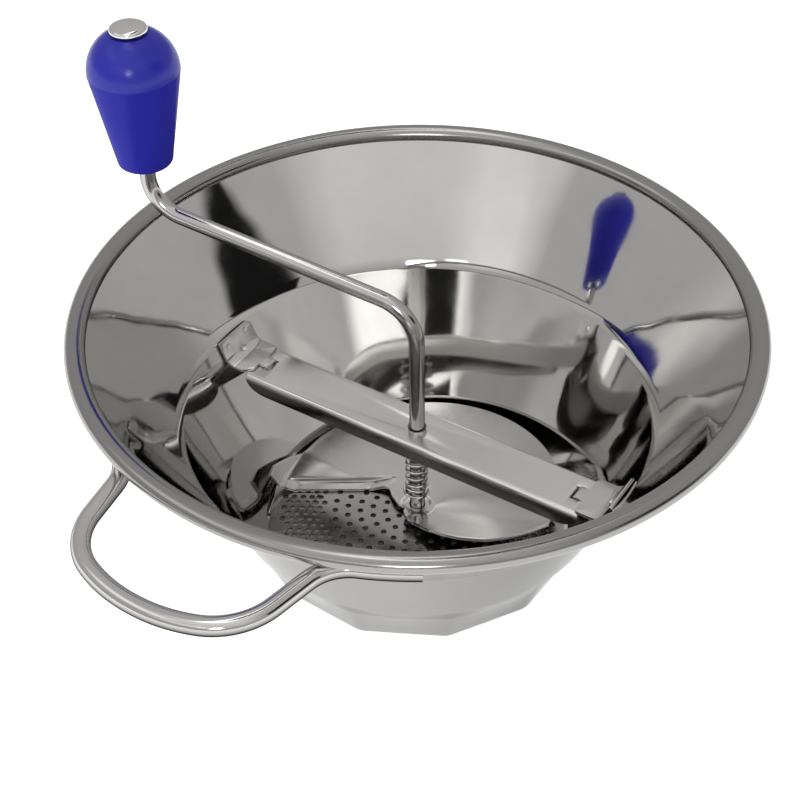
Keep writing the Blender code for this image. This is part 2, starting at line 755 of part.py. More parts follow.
def build_rings(steel, parent):
    bar_under = BAR_TOP - BAR_SHEET - SEAT_GAP
    hole = CRANK_ROD_RADIUS + RUN_GAP
    upper = washer_mesh(hole, BAR_WASHER_RADIUS, bar_under - BAR_WASHER_SHEET, bar_under)
    mesh_piece("bar_washer", upper, steel, parent)
    seat_low = SPRING_SEAT_TOP - SEAT_WASHER_SHEET
    lower = washer_mesh(hole, SEAT_WASHER_RADIUS, seat_low, SPRING_SEAT_TOP)
    mesh_piece("spring_washer", lower, steel, parent)
    ring_top = seat_low - SEAT_GAP
    snug = CRANK_ROD_RADIUS + SEAT_GAP
    ring = washer_mesh(snug, snug + RING_WALL, ring_top - RING_HEIGHT, ring_top)
    mesh_piece("retaining_ring", ring, steel, parent)


# Knob
KNOB_LENGTH_SHARES = (0.05, 0.20, 0.38, 0.55, 0.68, 0.76, 0.84, 0.90, 0.95, 0.985)
KNOB_RADIUS_SHARES = (0.650, 0.735, 0.835, 0.925, 0.985, 1.000, 0.960, 0.875, 0.740, 0.570)


def knob_profile():
    bore = CRANK_ROD_RADIUS + RUN_GAP
    recess = CAP_RADIUS + SEAT_GAP
    stop_room = STOP_RADIUS + RUN_GAP
    stop_top = KNOB_BOTTOM + STOP_INSET + STOP_HEIGHT + SEAT_GAP
    profile = [(bore, stop_top), (stop_room, stop_top), (stop_room, KNOB_BOTTOM)]
    profile.append((KNOB_FOOT_RADIUS - KNOB_FOOT_ROUND, KNOB_BOTTOM))
    profile.append((KNOB_FOOT_RADIUS, KNOB_BOTTOM + KNOB_FOOT_ROUND))
    for along, out in zip(KNOB_LENGTH_SHARES, KNOB_RADIUS_SHARES):
        profile.append((KNOB_RADIUS * out, KNOB_BOTTOM + KNOB_LENGTH * along))
    profile.append((recess + CAP_RECESS, KNOB_TOP))
    profile.append((recess, KNOB_TOP - CAP_RECESS / 4))
    profile.append((recess, KNOB_TOP - CAP_RECESS))
    profile.append((bore, KNOB_TOP - CAP_RECESS))
    return profile


def build_knob(plastic, steel, knob_axis):
    mesh_piece("knob", turned_mesh(knob_profile(), KNOB_STEPS), plastic, knob_axis)
    snug = CRANK_ROD_RADIUS + SEAT_GAP
    stop_low = KNOB_BOTTOM + STOP_INSET
    stop = washer_mesh(snug, STOP_RADIUS, stop_low, stop_low + STOP_HEIGHT)
    mesh_piece("knob_stop", stop, steel, knob_axis)
    cap_low = KNOB_TOP - CAP_RECESS + SEAT_GAP
    dome = [(snug, cap_low), (CAP_RADIUS, cap_low), (CAP_RADIUS, cap_low + CAP_EDGE)]
    dome_steps = 5
    for k in range(1, dome_steps):
        turn = math.pi / 2 * k / dome_steps
        dome.append((CAP_RADIUS * math.cos(turn), cap_low + CAP_EDGE + CAP_DOME * math.sin(turn)))
    hollow = cap_low + CAP_EDGE
    bm = turned_solid([(snug, hollow)] + dome, ROUND_STEPS)
    mesh_piece("knob_cap", bm, steel, knob_axis)


def build_all():
    clear_scene()
    steel = make_material("polished_steel", (0.62, 0.62, 0.60), 0.12, 1.0)
    disc_steel = make_material("disc_steel", (0.58, 0.58, 0.56), 0.25, 1.0)
    blue = make_material("blue_plastic", (0.035, 0.028, 0.32), 0.30, 0.0)
    axis = make_empty("mill_axis", None, (AXIS_X, 0.0, 0.0))
    elbow = polar(CRANK_RADIUS, CRANK_ANGLE, 0.0)
    knob_axis = make_empty("knob_axis", axis, elbow)
    build_hopper(steel, axis)
    build_handle(steel, axis)
    build_bracket("bracket_left", 1, steel, axis)
    build_bracket("bracket_right", -1, steel, axis)
    build_crossbar(steel, axis)
    build_disc(disc_steel, axis)
    build_blade(steel, axis)
    build_crank(steel, axis)
    build_spring(steel, axis)
    build_rings(steel, axis)
    build_knob(blue, steel, knob_axis)


build_all()
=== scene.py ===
"""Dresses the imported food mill: polished steel hopper, perforated disc, blade, crank and blue knob."""
import json
import math

import bpy
from bpy.props import FloatProperty, FloatVectorProperty, IntProperty, PointerProperty
from mathutils import Matrix, Quaternion, Vector


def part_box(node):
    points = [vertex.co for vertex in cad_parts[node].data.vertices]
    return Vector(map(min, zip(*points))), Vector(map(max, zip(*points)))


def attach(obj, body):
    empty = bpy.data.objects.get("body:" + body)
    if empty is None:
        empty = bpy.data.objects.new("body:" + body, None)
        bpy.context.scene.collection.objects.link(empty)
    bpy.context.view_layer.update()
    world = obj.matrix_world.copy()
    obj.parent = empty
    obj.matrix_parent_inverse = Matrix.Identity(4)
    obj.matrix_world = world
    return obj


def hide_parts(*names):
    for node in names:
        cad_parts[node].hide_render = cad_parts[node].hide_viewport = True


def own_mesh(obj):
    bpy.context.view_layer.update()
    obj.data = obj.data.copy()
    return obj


bl_info = {
    "name": "Food mill",
    "version": (1, 0, 0),
    "blender": (4, 5, 0),
    "location": "View3D > Sidebar > Food mill",
    "description": "Builds the visible pieces of a hand cranked food mill around its solids",
    "category": "Add Mesh",
}

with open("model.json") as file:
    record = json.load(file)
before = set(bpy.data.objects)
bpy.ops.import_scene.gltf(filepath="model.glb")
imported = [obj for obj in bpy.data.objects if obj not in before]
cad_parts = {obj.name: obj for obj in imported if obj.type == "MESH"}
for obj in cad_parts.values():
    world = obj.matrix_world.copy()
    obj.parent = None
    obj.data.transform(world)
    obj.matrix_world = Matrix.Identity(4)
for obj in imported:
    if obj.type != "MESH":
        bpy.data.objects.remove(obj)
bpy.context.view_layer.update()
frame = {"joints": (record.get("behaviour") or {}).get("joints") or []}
MM = 0.001


def joint_place(name):
    joint = next(item for item in frame["joints"] if item["name"] == name)
    return Vector(joint["pos_m"])


AXIS = joint_place("crank_turn")
KNOB_AXIS = joint_place("knob_spin")
BASE = Vector((AXIS.x, AXIS.y, 0.0))
UP = Vector((0.0, 0.0, 1.0))
# from left to right in the photograph
# painted shade darkens the hopper's outside along this direction
ACROSS = Vector((0.545, -0.839, 0.0))


# Sizes and colours a user may change
class HopperSettings(bpy.types.PropertyGroup):
    rim_radius: FloatProperty(
        name="Rim radius", description="Outer radius of the rolled rim", default=154.76 * MM, unit="LENGTH"
    )
    bead_radius: FloatProperty(
        name="Bead radius", description="Half width of the rolled rim", default=4.7 * MM, unit="LENGTH"
    )
    steps: IntProperty(name="Steps", description="Faces round the hopper", default=288, min=48)
    steel: FloatVectorProperty(
        name="Steel",
        description="Tint of the polished steel",
        subtype="COLOR",
        default=(0.625, 0.618, 0.605),
    )


class DiscSettings(bpy.types.PropertyGroup):
    hole_radius: FloatProperty(
        name="Hole radius", description="Radius of one hole", default=1.5 * MM, unit="LENGTH"
    )
    dense_pitch: FloatProperty(
        name="Dense pitch", description="Spacing of the outer holes", default=4.4 * MM, unit="LENGTH"
    )
    sparse_pitch: FloatProperty(
        name="Sparse pitch", description="Spacing of the inner holes", default=6.2 * MM, unit="LENGTH"
    )


class KnobSettings(bpy.types.PropertyGroup):
    plastic: FloatVectorProperty(
        name="Plastic", description="Colour of the knob", subtype="COLOR", default=(0.026, 0.026, 0.37)
    )
    steps: IntProperty(name="Steps", description="Faces round the knob", default=96, min=24)


class StageSettings(bpy.types.PropertyGroup):
    floor: FloatVectorProperty(
        name="Floor", description="Colour of the pale floor", subtype="COLOR", default=(0.80, 0.80, 0.80)
    )
    glow: FloatProperty(name="Glow", description="Light the floor gives by itself", default=0.78, min=0.0)
    fill: FloatProperty(name="Fill", description="Strength of the studio's light", default=1.0, min=0.0)
    lens: FloatProperty(name="Lens", description="Focal length of the camera in mm", default=71.705)


# Selecting and finishing
def start_clean():
    if bpy.context.object and bpy.context.object.mode != "OBJECT":
        bpy.ops.object.mode_set(mode="OBJECT")
    bpy.ops.object.select_all(action="DESELECT")


def only(piece):
    """Makes one object the selected and active one."""
    start_clean()
    piece.select_set(True)
    bpy.context.view_layer.objects.active = piece


def edit(piece):
    only(piece)
    bpy.ops.object.mode_set(mode="EDIT")
    bpy.ops.mesh.select_mode(type="VERT")
    bpy.ops.mesh.select_all(action="SELECT")


def leave():
    bpy.ops.object.mode_set(mode="OBJECT")


def merge_and_turn_out(piece):
    edit(piece)
    bpy.ops.mesh.remove_doubles(threshold=0.002 * MM)
    bpy.ops.mesh.select_all(action="SELECT")
    bpy.ops.mesh.normals_make_consistent()
    leave()


def choose(piece, kind, test):
    """Selects the vertices, edges or faces that pass a test, and stays in edit mode."""
    edit(piece)
    bpy.ops.mesh.select_mode(type=kind)
    bpy.ops.mesh.select_all(action="DESELECT")
    leave()
    mesh = piece.data
    if kind == "VERT":
        for vertex in mesh.vertices:
            vertex.select = test(vertex.co)
    elif kind == "EDGE":
        for edge in mesh.edges:
            edge.select = test(*[mesh.vertices[i].co for i in edge.vertices])
    else:
        for face in mesh.polygons:
            face.select = test(face)
    bpy.ops.object.mode_set(mode="EDIT")


def near(value, target):
    return abs(value - target) < 0.01 * MM


def bevel(piece, kind, test, size, steps):
    """Bevels the vertices or edges that pass a test."""
    choose(piece, kind, test)
    bpy.ops.mesh.bevel(offset=size, segments=steps, affect="VERTICES" if kind == "VERT" else "EDGES")
    leave()


def block(low, high):
    """A box between two corners, to be shaped further."""
    start_clean()
    bpy.ops.mesh.primitive_cube_add(size=1.0, location=(low + high) / 2)
    piece = bpy.context.object
    piece.scale = high - low
    bpy.ops.object.transform_apply()
    return piece


def cut_away(piece, tool):
    apply_modifier(piece, "BOOLEAN", operation="DIFFERENCE", object=tool, solver="EXACT")
    bpy.data.objects.remove(tool, do_unlink=True)


def thicken_below(piece, sheet, face, even=True):
    """Turns a sheet so that one of its faces looks up, and thickens it on the other side."""
    if face.normal.z < 0:
        piece.data.flip_normals()
    apply_modifier(piece, "SOLIDIFY", thickness=sheet, offset=-1.0, use_even_offset=even)


def apply_modifier(piece, kind, **settings):
    only(piece)
    modifier = piece.modifiers.new(kind.lower(), kind)
    for name, value in settings.items():
        setattr(modifier, name, value)
    bpy.ops.object.modifier_apply(modifier=modifier.name)


def soften(piece, width, angle):
    """Bevels every edge that is sharper than an angle in degrees."""
    limit = {"limit_method": "ANGLE", "angle_limit": math.radians(angle)}
    apply_modifier(piece, "BEVEL", width=width, segments=2, **limit)


def finish_piece(piece, name, body, replaced, material, angle):
    """Names, smooths and dresses a piece, and gives it to its body in place of its CAD node."""
    only(piece)
    bpy.ops.object.transform_apply()
    piece.name = name
    piece.data.name = name
    bpy.ops.object.shade_smooth_by_angle(angle=math.radians(angle))
    piece.data.materials.clear()
    piece.data.materials.append(material)
    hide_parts(replaced)
    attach(piece, body)
    start_clean()


def dress_faces(piece, material, test):
    """Gives a further material to the faces that pass a test."""
    piece.data.materials.append(material)
    for face in piece.data.polygons:
        face.material_index = 1 if test(face) else 0


# Ways of shaping
def spread(low, high, steps):
    """Even steps from low to high, both included."""
    return [low + (high - low) * k / steps for k in range(steps + 1)]


def limited(value, low, high):
    """0 below low, 1 above high, straight between."""
    return min(1.0, max(0.0, (value - low) / (high - low)))


def along_table(value, places, values):
    """Reads a table at a value, straight between its entries."""
    found = values[0]
    for before, after, first, last in zip(places, places[1:], values, values[1:]):
        found += (last - first) * limited(value, before, after)
    return found


def polar(radius, angle, height):
    return Vector((radius * math.cos(angle), radius * math.sin(angle), height))


def rounded(points, bends, steps):
    """A route through corners, each inner corner rounded by its own radius; zero keeps it sharp."""
    route = [points[0]]
    for before, corner, after, bend in zip(points, points[1:], points[2:], bends):
        towards = (before - corner).normalized()
        onward = (after - corner).normalized()
        half = towards.angle(onward) / 2
        if bend == 0 or abs(half - math.pi / 2) < 1e-4:
            route.append(corner)
            continue
        reach = bend / math.tan(half)
        centre = corner + (towards + onward).normalized() * (bend / math.sin(half))
        first = corner + towards * reach - centre
        last = corner + onward * reach - centre
        sweep = first.angle(last)
        for share in spread(0.0, 1.0, steps):
            mixed = first * math.sin((1 - share) * sweep) + last * math.sin(share * sweep)
            route.append(centre + mixed / math.sin(sweep))
    route.append(points[-1])
    return route


def circle(sides, radius, place):
    start_clean()
    bpy.ops.mesh.primitive_circle_add(vertices=sides, radius=radius, location=place)
    return bpy.context.object


def turned(profile, steps, centre):
    """Turns a profile of (radius, height): a circle extruded and scaled ring by ring."""
    radius, height = profile[0]
    piece = circle(steps, radius, (centre.x, centre.y, height))
    edit(piece)
    for (before, low), (after, high) in zip(profile, profile[1:]):
        bpy.ops.mesh.extrude_edges_move(TRANSFORM_OT_translate={"value": (0.0, 0.0, high - low)})
        share = after / before
        bpy.ops.transform.resize(value=(share, share, 1.0), center_override=(centre.x, centre.y, high))
    leave()
    return piece


def rod(route, radius, sides):
    """A round rod along a route, as a mesh with closed ends."""
    start_clean()
    bpy.ops.curve.primitive_nurbs_path_add()
    piece = bpy.context.object
    curve = piece.data
    curve.splines.clear()
    curve.dimensions = "3D"
    spline = curve.splines.new("POLY")
    spline.points.add(len(route) - 1)
    for point, place in zip(spline.points, route):
        point.co = (*place, 1.0)
    curve.bevel_depth = radius
    curve.bevel_resolution = sides // 2 - 2
    curve.use_fill_caps = True
    only(piece)
    bpy.ops.object.convert(target="MESH")
    piece = bpy.context.object
    merge_and_turn_out(piece)
    return piece


# Materials: sockets as numbers that can be added and multiplied
def put(tree, socket, value):
    """Links a wire to a socket, or sets the socket to a plain value."""
    if isinstance(value, Wire):
        tree.links.new(value.socket, socket)
    else:
        socket.default_value = value


class Wire:
    """A shader socket on which sums, products and powers add Math nodes."""

    def __init__(self, tree, socket):
        self.tree = tree
        self.socket = socket

    def maths(self, operation, *values, clamp=False):
        node = self.tree.nodes.new("ShaderNodeMath")
        node.operation = operation
        node.use_clamp = clamp
        for slot, value in zip(node.inputs, values):
            put(self.tree, slot, value)
        return Wire(self.tree, node.outputs[0])

    def __add__(self, other):
        return self.maths("ADD", self, other)

    def __sub__(self, other):
        return self.maths("SUBTRACT", self, other)

    def __rsub__(self, other):
        return self.maths("SUBTRACT", other, self)

    def __mul__(self, other):
        return self.maths("MULTIPLY", self, other)

    def __truediv__(self, other):
        return self.maths("DIVIDE", self, other)

    __radd__ = __add__
    __rmul__ = __mul__

    def power(self, other):
        return self.maths("POWER", self, other)

    def size(self):
        return self.maths("ABSOLUTE", self)

    def clamped(self):
        return self.maths("ADD", self, 0.0, clamp=True)

    def between(self, low, high):
        """0 below low, 1 above high, straight between."""
        return ((self - low) / (high - low)).clamped()


class Nodes:
    """A node tree whose nodes all come from one method."""

    def __init__(self, tree):
        self.tree = tree

    def node(self, kind, settings=None, values=None, output=0):
        node = self.tree.nodes.new(kind)
        for name, value in (settings or {}).items():
            setattr(node, name, value)
        for name, value in (values or {}).items():
            put(self.tree, node.inputs[name], value)
        return Wire(self.tree, node.outputs[output])

    def parts(self, where):
        """The three coordinates of a place as separate values."""
        first = self.node("ShaderNodeSeparateXYZ", {}, {0: where})
        return [Wire(self.tree, socket) for socket in first.socket.node.outputs]


class Finish(Nodes):
    """One material and the nodes in it."""

    def __init__(self, name):
        self.material = bpy.data.materials.new(name)
        self.material.use_nodes = True
        super().__init__(self.material.node_tree)
        self.shader = self.tree.nodes["Principled BSDF"]

    def set(self, **values):
        for name, value in values.items():
            put(self.tree, self.shader.inputs[name.replace("_", " ")], value)

    def place(self, centre=(0.0, 0.0, 0.0)):
        """Object coordinates moved so that centre is the middle."""
        where = self.node("ShaderNodeTexCoord", output=3)
        return self.node("ShaderNodeVectorMath", {"operation": "SUBTRACT"}, {0: where, 1: tuple(centre)})

    def noise(self, where, scale, detail=3.0, roughness=0.5):
        values = {"Vector": where, "Scale": scale, "Detail": detail, "Roughness": roughness}
        return self.node("ShaderNodeTexNoise", {}, values)

    def mix(self, share, first, second):
        return self.node("ShaderNodeMix", {"data_type": "RGBA"}, {0: share, 6: first, 7: second}, 2)

    def bump(self, height, distance, under=None):
        values = {"Height": height, "Distance": distance, "Strength": 1.0}
        if under is not None:
            values["Normal"] = under
        return self.node("ShaderNodeBump", {}, values)


# tones of the steel, as shares of its tint: the satin band, the side darkened by painted shade, and the
# painted shade under the step
SATIN_TONE = 0.54
SHADED_SIDE_TONE = 0.45
STEP_TONE = 0.30
# the shade under the hopper's step: its strength, and the heights over which it starts and ends
STEP_SHADE = 0.45
STEP_START = (21.0 * MM, 24.0 * MM)
STEP_END = (29.4 * MM, 30.4 * MM)


def rgba(colour, share=1.0):
    return (colour[0] * share, colour[1] * share, colour[2] * share, 1.0)


def steel_finish(
    name, share, rough, smudge, centre=AXIS, wave=0.0, lines=0.0, satin=None, painted_shade_below=None, edge=1.0, shaded_side=None
):
    """Polished steel: smudged gloss, faint cloudiness, slow waves of the sheet, fine turned lines.

    share is its brightness and edge the brightness that it keeps where it is seen aslant. satin gives the
    two heights between which a satin band begins. The shade below gives the two heights over which a
    painted shade on the lower side ends, and that shade's share. The shaded side gives the two places
    across the base between which painted shade darkens one side of the steel, with painted shade under the
    step."""
    finish = Finish(name)
    tint = [channel * share for channel in bpy.context.scene.mill_hopper.steel]
    where = finish.place(centre)
    x, y, z = finish.parts(where)
    cloud = finish.noise(where, 22.0, 4.0, 0.6)
    grime = finish.noise(where, 75.0, 5.0, 0.65)
    colour = finish.mix(cloud.between(0.3, 0.75), rgba(tint, 0.93), rgba(tint, 1.03))
    roughness = rough + smudge * grime.between(0.42, 0.85)
    if satin:
        band = z.between(*satin)
        roughness = roughness + 0.14 * band
        colour = finish.mix(band, colour, rgba(tint, SATIN_TONE))
    # painted shade: below the given heights the steel darkens to the given share, as shade on its lower
    # side
    if painted_shade_below:
        low, high, foot = painted_shade_below
        colour = finish.mix(z.between(low, high), rgba(tint, foot), colour)
    # painted shade: the steel grows darker the further it lies along ACROSS, with painted shade under the
    # hopper's step
    if shaded_side:
        across = x * ACROSS.x + y * ACROSS.y
        under_step = z.between(*STEP_START) * (1.0 - z.between(*STEP_END))
        colour = finish.mix(across.between(*shaded_side), colour, rgba(tint, SHADED_SIDE_TONE))
        colour = finish.mix(STEP_SHADE * under_step, colour, rgba(tint, STEP_TONE))
    finish.set(Base_Color=colour, Metallic=1.0, Roughness=roughness, Specular_Tint=rgba([edge] * 3))
    normal = None
    if wave:
        normal = finish.bump(finish.noise(where, 26.0, 1.0, 0.4), wave)
    if lines:
        place = (x * x + y * y).power(0.5) + z * 0.8
        values = {"W": place, "Scale": 1600.0, "Detail": 2.0}
        grain = finish.node("ShaderNodeTexNoise", {"noise_dimensions": "1D"}, values)
        if satin:
            grain = grain * (1.0 - band)
        normal = finish.bump(grain, lines, normal)
    if normal is not None:
        finish.set(Normal=normal)
    return finish.material


def plastic_finish(name, colour, centre, crease):
    """Moulded blue plastic: even colour, softly orange-peeled gloss, small scuffs."""
    finish = Finish(name)
    where = finish.place(centre)
    cloud = finish.noise(where, 40.0, 3.0)
    scuff = finish.noise(where, 420.0, 6.0, 0.7)
    height = finish.parts(finish.place())[2]
    finish.set(
        Base_Color=finish.mix(cloud.between(0.3, 0.7), rgba(colour, 0.94), rgba(colour, 1.06)),
        Roughness=0.34 + 0.10 * scuff.between(0.5, 0.8),
        Specular_IOR_Level=0.0,
        Coat_Weight=0.20 + 0.40 * height.between(crease, crease + 0.5 * MM),
        Coat_Roughness=0.22,
        Normal=finish.bump(finish.noise(where, 900.0, 2.0), 0.004 * MM),
    )
    return finish.material


# Hopper
BASE_SIDES = 12
BASE_TURN = math.radians(-2.8)


def polygon_stretch(angle, share):
    """How far a point of a twelve-sided ring lies from its circle; the corners are softly rounded."""
    side = 2 * math.pi / BASE_SIDES
    soft = math.radians(1.6)
    total = 0.0
    for step in (-1.0, -0.5, 0.0, 0.5, 1.0):
        offset = (angle - BASE_TURN + step * soft + side / 2) % side - side / 2
        total += math.cos(side / 2) / math.cos(offset) / 5
    return 1 - share + share * total


class FOODMILL_OT_hopper(bpy.types.Operator):
    """Turns the hopper: smooth inside, with a rolled rim and a stepped, twelve-sided foot outside"""

    bl_idname = "foodmill.hopper"
    bl_label = "Hopper"

    # radius, height and bend radius in mm
    inside_foot = ((68.7, 1.0, 0.0), (74.7, 1.0, 0.3), (74.7, 5.4, 0.0))
    wall_low = Vector((74.2, 5.6))
    wall_high = Vector((109.25, 75.1))
    wall_bulge = 1.33
    wall_steps = 26
    inside_flare = ((109.25, 75.1, 0.0), (146.25, 126.13, 0.0))
    # radius, height, bend radius in mm, and share of the twelve-sided outline
    outside = (
        (146.9, 125.0, 0.0, 0.0),
        (110.3, 74.5, 3.0, 0.0),
        (91.4, 31.4, 0.5, 0.0),
        (90.1, 29.9, 0.4, 0.0),
        (85.9, 20.0, 0.0, 0.5),
        (82.0, 10.0, 0.0, 0.85),
        (78.6, 1.0, 0.8, 1.0),
        (77.6, 0.0, 0.4, 1.0),
        (68.7, 0.0, 0.2, 0.0),
    )
    roll_height = 128.5 * MM
    roll_rise = 3.95 * MM
    roll_from = math.radians(214.7)
    roll_to = math.radians(-122.0)
    roll_steps = 30
    satin = (126.0 * MM, 126.6 * MM)
    # places across the base between which painted shade darkens one side of the outside
    shaded_side = (-5.0 * MM, 75.0 * MM)
    outside_top = 125.5 * MM
    foot_hole = 70.0 * MM

    def execute(self, context):
        sizes = context.scene.mill_hopper
        inside = self.bent(self.inside_foot) + self.wall() + self.bent(self.inside_flare)[1:]
        profile = [(radius, height, 0.0) for radius, height in inside]
        middle = sizes.rim_radius - sizes.bead_radius
        for angle in spread(self.roll_from, self.roll_to, self.roll_steps):
            radius = middle + sizes.bead_radius * math.cos(angle)
            profile.append((radius, self.roll_height + self.roll_rise * math.sin(angle), 0.0))
        outside = self.bent([corner[:3] for corner in self.outside])
        foot = self.outside[3:8]
        depths = [-corner[1] * MM for corner in foot]
        shares = [corner[3] for corner in foot]
        for radius, height in outside:
            share = along_table(-height, depths, shares)
            profile.append((radius, height, share if radius > self.foot_hole else 0.0))
        profile.append(profile[0])
        piece = turned([point[:2] for point in profile], sizes.steps, AXIS)
        rings = [point[2] for point in profile]
        for index, vertex in enumerate(piece.data.vertices):
            share = rings[index // sizes.steps]
            if share > 0:
                stretch = polygon_stretch(math.atan2(vertex.co.y, vertex.co.x), share)
                vertex.co.x *= stretch
                vertex.co.y *= stretch
        merge_and_turn_out(piece)
        steel = steel_finish(
            "hopper steel", 1.0, 0.042, 0.055, wave=0.25 * MM, lines=0.0006 * MM, satin=self.satin
        )
        finish_piece(piece, "hopper_shell", "frame", "hopper", steel, 38.0)
        # the outside gets a darker copy of the steel: painted shade, with the painted shaded side and the
        # painted shade under the step
        shaded_outside_steel = steel_finish(
            "hopper outside steel", 0.60, 0.14, 0.08, wave=0.10 * MM, edge=0.8, shaded_side=self.shaded_side
        )
        dress_faces(piece, shaded_outside_steel, self.is_outside)
        return {"FINISHED"}

    def is_outside(self, face):
        away = face.center - AXIS
        outward = away.x * face.normal.x + away.y * face.normal.y > 0
        return outward and face.center.z < self.outside_top

    def wall(self):
        """The bowl's inner wall, bulging a little outward between foot and flare."""
        points = []
        run = self.wall_high - self.wall_low
        outward = Vector((run.y, -run.x)).normalized()
        for share in spread(0.0, 1.0, self.wall_steps):
            point = self.wall_low + run * share + outward * self.wall_bulge * 4 * share * (1 - share)
            points.append((point.x * MM, point.y * MM))
        return points

    @staticmethod
    def bent(corners):
        """Rounds a profile's corners and adds points to its long straight stretches."""
        points = [Vector((radius * MM, height * MM)) for radius, height, _ in corners]
        route = rounded(points, [bend * MM for _, _, bend in corners[1:-1]], 4)
        divided = [route[0]]
        for before, after in zip(route, route[1:]):
            count = max(1, math.ceil((after - before).length / (4.0 * MM)))
            divided += [before.lerp(after, k / count) for k in range(1, count + 1)]
        return [(point.x, point.y) for point in divided]


# Handle
class FOODMILL_OT_handle(bpy.types.Operator):
    """Bends the wire handle and its two welded ends under the rim"""

    bl_idname = "foodmill.handle"
    bl_label = "Handle"

    seat = 146.85 * MM
    reach = 198.0 * MM
    front_half = 12.7 * MM
    shoulder_reach = 183.5 * MM
    shoulder_half = 41.5 * MM
    foot_run = 6.5 * MM
    foot_angle = math.radians(22.2)
    bend_angle = math.radians(24.6)
    tail_angle = math.radians(33.6)
    turn = math.radians(-0.7)
    tail_steps = 12
    bends = (21.0, 30.0, 68.0, 68.0, 30.0, 21.0)

    def execute(self, context):
        low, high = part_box("handle")
        radius = (high.z - low.z) / 2
        height = (high.z + low.z) / 2
        tails, halves = [], []
        for side in (1, -1):
            leans = spread(self.tail_angle, self.bend_angle, self.tail_steps)
            tail = [polar(self.seat, math.pi - side * lean, height) for lean in leans]
            along = Vector((-math.sin(self.foot_angle), -side * math.cos(self.foot_angle), 0.0))
            foot = polar(self.seat, math.pi - side * self.foot_angle, height) + along * self.foot_run
            shoulder = Vector((-self.shoulder_reach, side * self.shoulder_half, height))
            front = Vector((-self.reach + radius, side * self.front_half, height))
            tails.append(tail[:-1])
            halves.append([tail[-1], foot, shoulder, front])
        bends = [bend * MM for bend in self.bends]
        route = tails[0] + rounded(halves[0] + halves[1][::-1], bends, 14) + tails[1][::-1]
        place = Matrix.Translation(BASE) @ Matrix.Rotation(self.turn, 4, "Z")
        piece = rod([place @ point for point in route], radius, 32)
        # painted shade: the rod's lower side darker
        painted_shade_below = (height - 0.3 * radius, height + 0.5 * radius, 0.08)
        steel = steel_finish("rod steel", 1.0, 0.10, 0.08, painted_shade_below=painted_shade_below, edge=0.25)
        finish_piece(piece, "handle_rod", "frame", "handle", steel, 50.0)
        return {"FINISHED"}


# Sieve disc
class FOODMILL_OT_disc(bpy.types.Operator):
    """Punches the full pattern of round holes in the twelve-sided disc"""

    bl_idname = "foodmill.disc"
    bl_label = "Sieve disc"

    outline = 74.6 * MM
    sheet = 1.0 * MM
    shaft_hole = 4.15 * MM
    shaft_hole_sides = 28
    hole_sides = 10
    dense_ring = (45.0 * MM, 67.2 * MM)
    sparse_ring = (9.6 * MM, 41.5 * MM)
    most_columns = 20

    def execute(self, context):
        sizes = context.scene.mill_disc
        low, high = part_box("sieve_disc")
        top = high.z
        self.turn = Matrix.Rotation(math.pi / BASE_SIDES + BASE_TURN, 4, "Z")
        place = BASE + UP * top
        plate = circle(BASE_SIDES, self.outline, place)
        plate.data.transform(self.turn)
        rings = [circle(self.shaft_hole_sides, self.shaft_hole, place)]
        hole = circle(self.hole_sides, sizes.hole_radius, place)
        for x, y in self.places(sizes):
            copy = bpy.data.objects.new("hole", hole.data)
            copy.location = (AXIS.x + x, AXIS.y + y, top)
            context.collection.objects.link(copy)
            rings.append(copy)
        bpy.data.objects.remove(hole, do_unlink=True)
        self.join(rings, plate)
        edit(plate)
        bpy.ops.mesh.fill(use_beauty=False)
        bpy.ops.mesh.select_all(action="SELECT")
        bpy.ops.mesh.normals_make_consistent()
        leave()
        thicken_below(plate, self.sheet, plate.data.polygons[0], even=False)
        soften(plate, 0.32 * MM, 60.0)
        self.add_skirt(plate, low.z, top)
        # painted shade: the hole walls, the underside and the turned-down rim darker than the top face
        painted_shade_below = (top - 0.7 * MM, top - 0.22 * MM, 0.22)
        steel = steel_finish("disc steel", 0.66, 0.16, 0.12, wave=0.10 * MM, painted_shade_below=painted_shade_below)
        finish_piece(plate, "perforated_disc", "frame", "sieve_disc", steel, 50.0)
        apply_modifier(plate, "WEIGHTED_NORMAL", weight=100, keep_sharp=True)
        start_clean()
        return {"FINISHED"}

    def places(self, sizes):
        """Hole centres: straight rows in the dense outer ring, wide rings in the middle."""
        found = []
        step = sizes.dense_pitch
        row_step = step * math.sqrt(3) / 2
        inner, outer = self.dense_ring
        rows = int(outer / row_step) + 1
        for row in range(-rows, rows + 1):
            y = row * row_step
            for column in range(-self.most_columns, self.most_columns + 1):
                x = (column + 0.5 * (row % 2)) * step
                if inner <= math.hypot(x, y) <= outer:
                    found.append((x, y))
        ring, outer = self.sparse_ring
        shift = 0.0
        while ring < outer:
            count = round(2 * math.pi * ring / (sizes.sparse_pitch * 1.02))
            for i in range(count):
                angle = 2 * math.pi * (i + shift) / count
                found.append((ring * math.cos(angle), ring * math.sin(angle)))
            ring += sizes.sparse_pitch
            shift = 0.5 - shift
        return found

    def add_skirt(self, plate, low, top):
        """The rim turned down to the hopper's ledge."""
        inner = self.outline - self.sheet / math.cos(math.pi / BASE_SIDES)
        upper = top - self.sheet
        profile = [(self.outline, upper), (self.outline, low), (inner, low), (inner, upper)]
        skirt = turned(profile, BASE_SIDES, AXIS)
        skirt.data.transform(self.turn)
        self.join([skirt], plate)

    @staticmethod
    def join(pieces, main):
        only(main)
        for piece in pieces:
            piece.select_set(True)
        bpy.ops.object.join()


# Blade
BLADE_TURN = math.radians(-57.0)
BLADE_LEAD_SHARES = (0.110, 0.170, 0.240, 0.350, 0.470, 0.580, 0.700, 0.830, 0.920, 1.000)
BLADE_LEAD_DEGREES = (-152.0, -112.0, -88.0, -72.0, -62.0, -55.0, -48.5, -39.5, -33.5, -28.0)
BLADE_TRAIL_SHARES = (0.110, 0.170, 0.240)
BLADE_TRAIL_DEGREES = (186.0, 160.0, 143.0)


